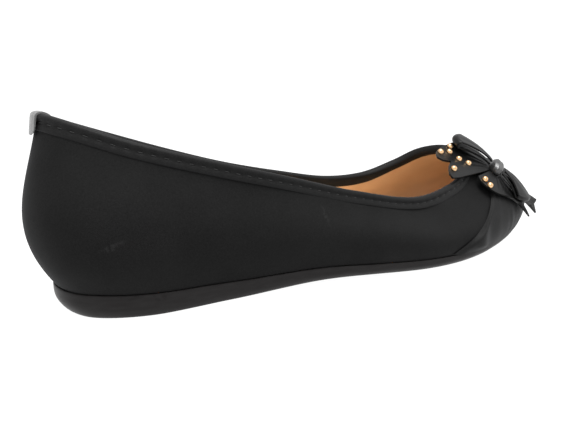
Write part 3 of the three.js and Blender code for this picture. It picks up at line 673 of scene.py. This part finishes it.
# Rings from the tread up: share of the thickness below the feather line, and of the full width
SOLE_RINGS = [(1, -0.02), (0.985, 0.04), (0.95, 0.16), (0.9, 0.3), (0.84, 0.43), (0.76, 0.58),
              (0.66, 0.74), (0.55, 0.87), (0.44, 0.95), (0.33, 0.99), (0.22, 1.0), (0.12, 1.0),
              (0.05, 0.99), (0.01, 0.96), (0, 0.9)]
TREAD_DEPTH = 0.35
TREAD_PITCH = 3.2
TREAD_SWEEP = 0.12

# Ribbed zones under the heel and the ball: start, its fade, end, its fade
TREAD_ZONES = [(8, 5, 54, 6), (120, 8, 222, 6)]


def tread(points, share):
    """Ground height plus shallow cross ribs that fade at the edges and at the waist."""
    x, y = points[..., 0], points[..., 1]
    phase = 2 * math.pi * (x + TREAD_SWEEP * np.abs(y)) / TREAD_PITCH
    wave = smooth(0.5 + 1.4 * np.sin(phase))
    edge = smooth(np.minimum(share, 1 - share) * 12 - 0.6)
    zone = sum(smooth((x - start) / fade_in) * smooth((end - x) / fade_out)
               for start, fade_in, end, fade_out in TREAD_ZONES)
    return ground(x) + TREAD_DEPTH * wave * edge * np.clip(zone, 0, 1)


piece("sole", plate([sole_ring(*row) for row in SOLE_RINGS], tread,
                    lambda points, share: feather(points[..., 0])),
      sole_rubber.material, ["outsole"])


BOARD_STATION = 0.2
BOARD_DISH = 0.25


def insole_rings():
    """Inside the wall with the fit all round, from the board's foot to its top edge."""
    point, normal = outline(around())
    low = point - normal * (WALL + FIT)
    low[:, 2] = feather(point[:, 0]) + FIT
    wall = shell(around(), BOARD_STATION, -WALL)
    share = (INSOLE_THICKNESS / (wall[:, 2] - low[:, 2]))[:, None]
    high = low + normal * FIT
    high = high + (wall - high) * share - normal * 1.2 * FIT
    rounded = [low + (high - low) * 0.95 - normal * 0.1, high - normal * 0.5]
    return [low, low + (high - low) * 0.8] + rounded


def insole_top(points, share):
    """A shallow cup across the board."""
    level = feather(points[..., 0]) + INSOLE_THICKNESS + FIT
    return level - BOARD_DISH * INSOLE_THICKNESS * (1 - (2 * share - 1) ** 2)


piece("insole", plate(insole_rings(), lambda points, share: feather(points[..., 0]) + FIT,
                      insole_top), sock.material, ["insole"])


# Topline binding

DENSE = np.linspace(0, STATIONS, 4001)


def arc_length(u):
    """Running length of the topline at stations u, from the toe, and its whole length."""
    steps = np.linalg.norm(np.diff(surface(DENSE, 1.0), axis=0), axis=1)
    run = np.concatenate([[0], np.cumsum(steps)])
    return np.interp(u, DENSE, run), run[-1]


BAND_AROUND = 960
STITCH_DOWN = 1.7
STITCH_PITCH = 4.0
THREAD_RADIUS = 0.2
THREAD_LENGTH = 2.3


def binding_section():
    """Out and rise round a puffed band: outer leg, fold, inner leg and back along its inside."""
    back = -WALL - FIT - BINDING_THICKNESS
    down = np.array([4.3, 4.25, 4.1, 3.6, 3.0, 2.4, 1.95, 1.7, 1.4, 1.1, 0.7, 0.3, 0.0])
    proud = np.array([0.1, 0.2, 0.3, 0.42, 0.5, 0.55, 0.58, 0.6, 0.72, 0.92, 1.12, 1.2, 1.18])
    far = proud[-1]
    outer = np.stack([proud, -down], 1)
    turn = np.linspace(0, math.pi, 12)[1:-1]
    middle, radius = (far + back) / 2, (far - back) / 2
    fold = np.stack([middle + radius * np.cos(turn), 0.62 * radius * np.sin(turn)], 1)
    inner_down = np.array([0.0, 1.0, 2.0, 3.0, 3.8, 4.25, 4.4])
    inner = np.stack([back + np.array([0, -0.05, -0.08, -0.04, 0, 0.1, 0.4]), -inner_down], 1)
    inside = np.array([[-WALL - FIT, -4.3], [-WALL - FIT, 0.0], [-WALL / 2, FIT * 0.8], [0.04, 0.0],
                       [0.04, 0.1 - BAND_WIDTH]])
    return np.concatenate([outer, fold, inner, inside])


def binding_points():
    """The section carried round the topline, dented where each stitch pulls it to the wall."""
    u = around(BAND_AROUND)[None, :]
    section = binding_section()
    out, rise = section[:, :1], section[:, 1:]
    run, total = arc_length(u)
    pitch = total / round(total / STITCH_PITCH)
    pull = (0.5 + 0.5 * np.cos(2 * math.pi * run / pitch)) ** 1.5
    front = smooth((np.abs(run / total - 0.5) - 0.1) / 0.22)
    depth = 0.46 * (1 - front) + 0.24 * front
    outside = out > 0
    line = np.exp(-((-rise - STITCH_DOWN) / 0.35) ** 2) * outside
    spread = np.exp(-((-rise - STITCH_DOWN) / 0.9) ** 2) * outside
    below = np.exp(-((-rise - STITCH_DOWN - 1.1) / 0.6) ** 2) * outside
    dent = (0.06 + 0.06 * pull) * below - 0.06 * line - spread * pull * depth
    return folded(u, out + dent, rise), uv_of(run / total, np.linspace(0, 1, len(section))[:, None])


rings, ring_uv = binding_points()
piece("topline_band", [(rings, quads(len(rings), BAND_AROUND, True, True), ring_uv)],
      band.material, ["topline_binding"], sharp=70)


def stitches():
    """A short round-ended thread along the topline in each of the band's dimples."""
    run, total = arc_length(DENSE)
    count = round(total / STITCH_PITCH)
    u = np.interp(np.arange(count) * total / count, run, DENSE)[:, None, None]
    half = THREAD_LENGTH / 2
    along = half * np.array([-1, -0.97, -0.8, -0.4, 0, 0.4, 0.8, 0.97, 1])[None, :, None]
    radius = THREAD_RADIUS * np.array([0, 0.5, 0.9, 1, 1, 1, 0.9, 0.5, 0])[None, :, None]
    turn = (np.arange(8) * math.pi / 4)[None, None, :]
    pace = np.linalg.norm(surface(u + 0.01, 1.0) - surface(u - 0.01, 1.0), axis=-1) / 0.02
    sag = 0.2 * (along / half) ** 2
    points = folded(u + along / pace, 0.22 - sag + radius * np.cos(turn),
                    radius * np.sin(turn) - STITCH_DOWN)
    faces = quads(9, 8, False, True)[:, ::-1]
    blocks = [(points[k], faces, uv_of(along[0], turn[0])) for k in range(count)]
    piece("band_stitches", blocks, thread.material)


stitches()


# Toe piece

cap_proud = FIT + CAP_THICKNESS
knot_normal = surface_normal(KNOT_STATION, KNOT_RISE)
knot_centre = shell(KNOT_STATION, KNOT_RISE, cap_proud + FIT + KNOT_HEIGHT / 2)


def pleats(points):
    """Ridges that fan out from the knot: bell curves of the plan angle, growing with distance."""
    away = points - knot_centre
    turn = np.degrees(np.arctan2(away[..., 1], away[..., 0])) % 360
    reach = np.hypot(away[..., 0], away[..., 1])
    grow = smooth((reach / (BALL_WIDTH / 2) - PLEAT_START) / (PLEAT_FULL - PLEAT_START))
    total = np.zeros(turn.shape)
    for angle, width, height in PLEATS:
        off = np.abs((turn - angle + 540) % 360 - 180)
        total += height * np.exp(-(off / width) ** 2)
    return PLEAT_HEIGHT * grow * total


TOE_START = 0.01


def toe_grid(rows, columns, distance, pleated):
    """A face of the toe piece, seam to seam and up to the binding, with pleats and a sunk seam."""
    rise = np.linspace(0, 1, rows)[:, None]
    side = np.linspace(-1, 1, columns)[None, :]
    u = side * (SEAM_FOOT - SEAM_SWEEP * rise ** SEAM_BEND) + STATIONS
    top = below_top(u, BAND_WIDTH + FIT)
    v = TOE_START + (top - TOE_START) * rise
    lift = 0.0
    if pleated:
        edge = smooth(np.minimum(rise, 1 - rise) * 8 + 0.2)
        border = np.minimum(side + 1, 1 - side) * 40
        lift = pleats(surface(u, v)) * edge * smooth(border * 0.8)
        lift = lift + 0.25 * smooth(border / 1.5) - 0.75 * np.exp(-(border / 0.8) ** 2)
    return shell(u, v, distance + lift), uv_of(side * 0.5 + 0.5, rise)


TOE_ROWS = 90
TOE_COLUMNS = 240
front, front_uv = toe_grid(TOE_ROWS, TOE_COLUMNS, cap_proud, True)
back, _ = toe_grid(TOE_ROWS, TOE_COLUMNS, FIT, False)


def slab(front, back, uv):
    """Two faces of one grid and the four strips that close their edges."""
    rows, columns = front.shape[:2]
    blocks = [(front, quads(rows, columns), uv), (back, quads(rows, columns)[:, ::-1], uv)]
    for take, flip in ((np.s_[:, 0], True), (np.s_[:, -1], False), (np.s_[0, :], False),
                       (np.s_[-1, :], True)):
        strip = np.stack([front[take], back[take]])
        faces = quads(2, strip.shape[1])
        blocks.append((strip, faces[:, ::-1] if flip else faces, uv[take][None]))
    return blocks


piece("toe_piece_pleated", slab(front, back, front_uv), toe_cloth.material, ["toe_piece"])


# Heel tab

TAB_LEG_ROWS = 8
TAB_FOLD_ROWS = 12


def tab_section():
    """Out and rise round a tape folded over the binding, then back along its inside."""
    gap = 2 * FIT + BINDING_THICKNESS
    far, back = gap + TAB_THICKNESS, -WALL - gap - TAB_THICKNESS
    outer = np.stack([np.full(TAB_LEG_ROWS, far), np.linspace(-TAB_OUTSIDE, 0, TAB_LEG_ROWS)], 1)
    outer[:, 0] -= [0.5, 0.35, 0.28, 0.2, 0.12, 0.06, 0.02, 0]
    turn = np.linspace(0, math.pi, TAB_FOLD_ROWS + 2)[1:-1]
    middle, radius = (far + back) / 2, (far - back) / 2
    fold = np.stack([middle + radius * np.cos(turn), far * 0.95 * np.sin(turn)], 1)
    inner = np.stack([np.full(7, back), np.linspace(0, -TAB_INSIDE, 7)], 1)
    outside = np.concatenate([outer, fold, inner])
    centre = np.array([middle, 0.0])
    folded_rows = slice(TAB_LEG_ROWS, TAB_LEG_ROWS + TAB_FOLD_ROWS)
    thinner = [(radius - TAB_THICKNESS) / radius, gap / far]
    thin = outside.copy()
    thin[:TAB_LEG_ROWS, 0] = gap
    thin[folded_rows] = centre + (outside[folded_rows] - centre) * thinner
    thin[TAB_LEG_ROWS + TAB_FOLD_ROWS:, 0] = back + TAB_THICKNESS
    return outside, thin


def tab_grid(section, count=25):
    """The section carried across the back seam, narrower towards its two ends."""
    across_station = 0.04
    arc = np.linalg.norm(surface(HEEL_STATION + across_station, 1.0)
                         - surface(HEEL_STATION - across_station, 1.0))
    half = TAB_WIDTH / 2 * (2 * across_station / arc)
    low = section[:, 1] - np.where(section[:, 0] > -WALL / 2, -TAB_OUTSIDE, -TAB_INSIDE)
    narrow = 1 - 0.4 * np.clip(1 - low / 1.8, 0, 1) ** 2
    u = HEEL_STATION + np.linspace(-half, half, count)[:, None] * narrow[None]
    return folded(u, section[None, :, 0], section[None, :, 1])


outside, thin = tab_section()
front, back = tab_grid(outside), tab_grid(thin)
grid_uv = uv_of(np.linspace(0, 1, front.shape[0])[:, None], np.linspace(0, 1, front.shape[1])[None])
piece("heel_tape", slab(front[:, ::-1], back[:, ::-1], grid_uv), tape.material, ["heel_tab"])


# Bow, in the frame of the toe piece under its knot: forward, sideways and straight off it

knot_forward = unit(np.array([1.0, 0.0, 0.0]) - knot_normal[0] * knot_normal)
knot_side = np.cross(knot_normal, knot_forward)


def about_knot(turn, reach, lift):
    """The knot's middle moved by reach at a turn in degrees, and by lift along the normal."""
    turn, reach, lift = (a[..., None] for a in np.broadcast_arrays(np.radians(turn), reach, lift))
    flat = knot_forward * np.cos(turn) + knot_side * np.sin(turn)
    return knot_centre + flat * reach + knot_normal * lift


def knot_reach(turn):
    """Half the knot's elliptical plan, at a turn."""
    angle = np.radians(turn - BOW_TURN)
    return 0.5 / np.hypot(np.cos(angle) / KNOT_ALONG, np.sin(angle) / KNOT_ACROSS)


def across(table, name, share, round_by=0.5):
    """Cubic from row to row of a column; its slopes are round_by times the steps about a row."""
    values = np.array(table[name], float)
    last = len(values) - 1
    place = np.clip(share, 0, 1) * last
    first = np.minimum(place.astype(int), last - 1)
    t = place - first
    a, b, c, d = (values[np.clip(first + k, 0, last)] for k in (-1, 0, 1, 2))
    leave, arrive = round_by * (c - a), round_by * (d - b)
    bend = 3 * (c - b) - 2 * leave - arrive
    return b + t * (leave + t * (bend + t * (leave + arrive - 2 * (c - b))))


def leaf_point(table, along, side):
    """Ribs that fan out evenly from the knot and bend to their rows on the leaf's edge."""
    along, side = np.broadcast_arrays(np.asarray(along, float), np.asarray(side, float))
    turn, reach, lift, curl = (across(table, name, side, ROW_ROUNDING)
                               for name in ("turn", "reach", "lift", "curl"))
    fan = table["turn"][0] + (table["turn"][-1] - table["turn"][0]) * side
    root = knot_reach(fan) + FIT + ROOT_CLEARANCE
    turn = fan + (turn - fan) * along ** RIB_BEND
    reach = root + (reach * BOW_SPAN - root) * along
    height = lift * BOW_SPAN * along - LEAF_DROP * (1 - along)
    return about_knot(turn, reach, height + along ** 4 * curl * BOW_SPAN)


def loop_point(table, over, side):
    """Out along the lower layer, half a circle round the end, and back along the upper layer."""
    over, side = np.broadcast_arrays(np.asarray(over, float), np.asarray(side, float))
    turn, reach, lift, puff = (across(table, name, side)
                               for name in ("turn", "reach", "lift", "puff"))
    cap = puff * BOW_SPAN
    out = np.clip((0.5 - np.abs(over - 0.5)) / (0.5 - LOOP_CAP), 0, 1)
    angle = np.clip((over - 0.5) / LOOP_CAP, -1, 1) * math.pi / 2
    opening = LOOP_ROOT_RISE / 2 + (cap - LOOP_ROOT_RISE / 2) * out
    middle = (LOOP_ROOT_RISE / 2 - LOOP_DROP) * (1 - out) + lift * BOW_SPAN * out
    middle = middle + LOOP_ARCH * np.sin(math.pi * out ** 0.8) - LOOP_NOD * out ** 4
    root = knot_reach(turn) + FIT + ROOT_CLEARANCE
    reach = root + (reach * BOW_SPAN - cap - root) * out + cap * np.cos(angle)
    return about_knot(turn, reach, middle + np.sin(angle) * opening)


SOFT_RIM = 0.45


def sheet(points, thickness):
    """Both faces of a sheet, half its thickness off along its normals, thinner at its edges."""
    rows, columns = points.shape[:2]
    normal = unit(np.cross(np.gradient(points, axis=1), np.gradient(points, axis=0)))
    edge_row = np.minimum(np.arange(rows), np.arange(rows)[::-1])[:, None]
    edge_column = np.minimum(np.arange(columns), np.arange(columns)[::-1])[None, :]
    rim = np.minimum(edge_row + 3.0, edge_column) / 2.0
    half = thickness / 2 * (SOFT_RIM + (1 - SOFT_RIM) * np.sqrt(np.clip(rim, 0, 1)))
    return points + normal * half[..., None], points - normal * half[..., None]


LEAF_STEPS = 28
LEAF_RIBS = 12
LEAF_GATHER = 0.07
LOOP_STEPS = 90
LOOP_RIBS = 40
LOOP_GATHER = 0.12


def leaf(name, table, node):
    """A scalloped leaf with soft gathers that run out from the knot and die away."""
    along = np.linspace(0, 1, LEAF_STEPS)[:, None]
    side = np.linspace(0, 1, LEAF_RIBS * (len(table["turn"]) - 1) + 1)[None, :]
    points = leaf_point(table, along, side)
    turn = across(table, "turn", side, ROW_ROUNDING)
    gather = LEAF_GATHER * np.sin(np.radians(turn) * 19)
    gather = gather * smooth(1.6 * (1 - along)) * smooth(along * 6)
    points = points + knot_normal * gather[..., None]
    front, back = sheet(points, LEAF_THICKNESS)
    piece(name, slab(front, back, uv_of(along, side)), leather.material, [node])


def loop(name, table, node):
    """A ribbon loop, creased where the knot gathers it."""
    over = np.linspace(0, 1, LOOP_STEPS)[:, None]
    side = np.linspace(0, 1, LOOP_RIBS)[None, :]
    points = loop_point(table, over, side)
    near_knot = np.abs(2 * over - 1) ** 1.5
    gather = LOOP_GATHER * np.sin(side * math.pi * 4) * near_knot
    gather = gather * smooth(12 * np.minimum(over, 1 - over))
    points = points + knot_normal * gather[..., None]
    front, back = sheet(points, LOOP_THICKNESS)
    piece(name, slab(front, back, uv_of(over, side)), leather.material, [node])


def bend(value, power):
    """A power of the value's size, with its sign."""
    return np.sign(value) * np.abs(value) ** power


def knot():
    """A squared-off oval round the bow's middle with folds that run round it."""
    rows, columns = 40, 72
    tilt = np.linspace(-math.pi / 2, math.pi / 2, rows)[:, None]
    turn = (np.arange(columns) * 2 * math.pi / columns)[None, :]
    out = bend(np.cos(tilt), 0.8)
    fold = 1 + 0.035 * np.sin(tilt * 9) * np.cos(tilt)
    end = KNOT_ALONG / 2 * bend(np.sin(tilt), 0.8)
    side = KNOT_ACROSS / 2 * out * np.cos(turn) * fold
    lift = KNOT_HEIGHT / 2 * out * bend(np.sin(turn), 0.9) * fold
    side = side * (1 + 0.12 * np.cos(2 * tilt))
    axis = np.radians(BOW_TURN)
    along = knot_forward * math.cos(axis) + knot_side * math.sin(axis)
    sideways = knot_side * math.cos(axis) - knot_forward * math.sin(axis)
    points = (knot_centre + along * end[..., None] + sideways * side[..., None]
              + knot_normal * lift[..., None])
    piece("knot", [(points, quads(rows, columns, False, True), uv_of(tilt, turn))],
          knot_leather.material, ["bow_knot"])


STUD_COLUMNS = 32
STUD_GAP = 0.05


def stud(name, table, at, node):
    """A dome with a low rim, standing off the leaf."""
    place = leaf_point(table, *at)
    step = 0.02
    step_along = leaf_point(table, at[0] + step, at[1]) - place
    step_across = leaf_point(table, at[0], at[1] + step) - place
    up = unit(np.cross(step_along, step_across))
    up = up if up @ knot_normal > 0 else -up
    level = unit(np.cross(up, [0.0, 0.0, 1.0]))
    other = np.cross(up, level)
    turn = (np.arange(STUD_COLUMNS) * 2 * math.pi / STUD_COLUMNS)[None, :]
    radius = STUD_DIAMETER / 2 * np.array([0, 0.9, 1, 1, 0.94, 0.9, 0.78, 0.6, 0.38, 0.16, 0])
    height = STUD_HEIGHT * np.array([0, 0, 0.06, 0.16, 0.3, 0.48, 0.7, 0.86, 0.96, 0.995, 1])
    radius, height = radius[:, None, None], height[:, None, None]
    flat = level * np.cos(turn)[..., None] + other * np.sin(turn)[..., None]
    base = place + up * (LEAF_THICKNESS / 2 + STUD_GAP)
    points = base + flat * radius + up * height
    faces = quads(len(points), STUD_COLUMNS, False, True)
    piece(name, [(points, faces, uv_of(height[..., 0], turn))], gold.material, [node],
          sharp=60)


leaf("leaf_far", FAR_LEAF, "bow_leaf_far")
leaf("leaf_near", NEAR_LEAF, "bow_leaf_near")
loop("loop_far", FAR_LOOP, "bow_loop_far")
loop("loop_near", NEAR_LOOP, "bow_loop_near")
knot()
all_studs = [(FAR_LEAF, at) for at in FAR_STUDS] + [(NEAR_LEAF, at) for at in NEAR_STUDS]
for number, (table, at) in enumerate(all_studs, 1):
    stud(f"dome_{number}", table, at, f"stud_{number}")


# Stage, light and camera

def floor():
    """A plain pale square far wider than the shoe."""
    mesh = bpy.data.meshes.new("floor")
    half = 6.0
    mesh.from_pydata([(-half, -half, 0), (half, -half, 0), (half, half, 0), (-half, half, 0)], [],
                     [(0, 1, 2, 3)])
    pale = Finish("pale_floor", Roughness=0.9, Specular_IOR_Level=0.1, Emission_Strength=0.98,
                  Emission_Color=(1, 1, 1, 1))
    pale.colour(pale.ramp(pale.noise(400, detail=2), (0.3, grey(0.13)), (0.7, grey(0.16))))
    mesh.materials.append(pale.material)
    obj = bpy.data.objects.new("floor", mesh)
    bpy.context.scene.collection.objects.link(obj)


def softbox(name, place, target, size, power, colour=(1, 1, 1)):
    """A square area light at a place, turned to a target, both in metres in the row frame."""
    data = bpy.data.lights.new(name, "AREA")
    data.shape, data.size, data.energy, data.color = "SQUARE", size, power, colour
    obj = bpy.data.objects.new(name, data)
    obj.location = place
    obj.rotation_euler = (Vector(target) - Vector(place)).to_track_quat("-Z", "Y").to_euler()
    bpy.context.scene.collection.objects.link(obj)


floor()
softbox("light_above", (-0.06, -0.16, 0.9), (-0.03, 0, 0), 0.5, 12)
softbox("light_left", (-0.9, -0.5, 0.6), (0, 0, 0.02), 0.9, 2)
softbox("light_toe", (0.8, -0.5, 0.5), (0.05, 0, 0.02), 0.8, 2)

# White world: one strength lights the shoe, and the other is the backdrop that is seen
LIT_STRENGTH = 0.85
SEEN_STRENGTH = 1.1
world = bpy.data.worlds.new("studio")
world.use_nodes = True
_nodes = world.node_tree.nodes
lit = _nodes["Background"]
seen = _nodes.new("ShaderNodeBackground")
for _background, _strength in ((lit, LIT_STRENGTH), (seen, SEEN_STRENGTH)):
    _background.inputs["Color"].default_value = (1, 1, 1, 1)
    _background.inputs["Strength"].default_value = _strength
which = _nodes.new("ShaderNodeLightPath")
either = _nodes.new("ShaderNodeMixShader")
for _source, _target in ((which.outputs["Is Camera Ray"], either.inputs[0]),
                         (lit.outputs[0], either.inputs[1]),
                         (seen.outputs[0], either.inputs[2]),
                         (either.outputs[0], _nodes["World Output"].inputs["Surface"])):
    world.node_tree.links.new(_source, _target)
bpy.context.scene.world = world
bpy.context.scene.view_settings.view_transform = "Standard"

# Camera: place in millimetres in the shoe's frame, angles in radians
CAMERA_PLACE = (-12.87, -175.2, 67.3)
CAMERA_YAW = 0.54444
CAMERA_PITCH = 0.22749
CAMERA_ROLL = 0.0098
FOCAL_PIXELS = 500.0
IMAGE_WIDTH = 577.0
SENSOR = 36.0


def camera():
    """The photograph's view: yaw from +Y towards +X, pitch down, then roll."""
    data = bpy.data.cameras.new("camera")
    data.sensor_fit, data.sensor_width = "HORIZONTAL", SENSOR
    data.lens = SENSOR * FOCAL_PIXELS / IMAGE_WIDTH
    data.clip_start = 0.01
    sy, cy = math.sin(CAMERA_YAW), math.cos(CAMERA_YAW)
    sp, cp = math.sin(CAMERA_PITCH), math.cos(CAMERA_PITCH)
    forward = Vector((sy * cp, cy * cp, -sp))
    level = Vector((cy, -sy, 0))
    above = level.cross(forward)
    right = level * math.cos(CAMERA_ROLL) - above * math.sin(CAMERA_ROLL)
    up = right.cross(forward)
    place = (Vector(CAMERA_PLACE) + Vector(ROW_SHIFT)) * MM
    obj = bpy.data.objects.new("camera", data)
    obj.matrix_world = Matrix((
        (right.x, up.x, -forward.x, place.x),
        (right.y, up.y, -forward.y, place.y),
        (right.z, up.z, -forward.z, place.z),
        (0, 0, 0, 1),
    ))
    bpy.context.scene.collection.objects.link(obj)
    bpy.context.scene.camera = obj


camera()
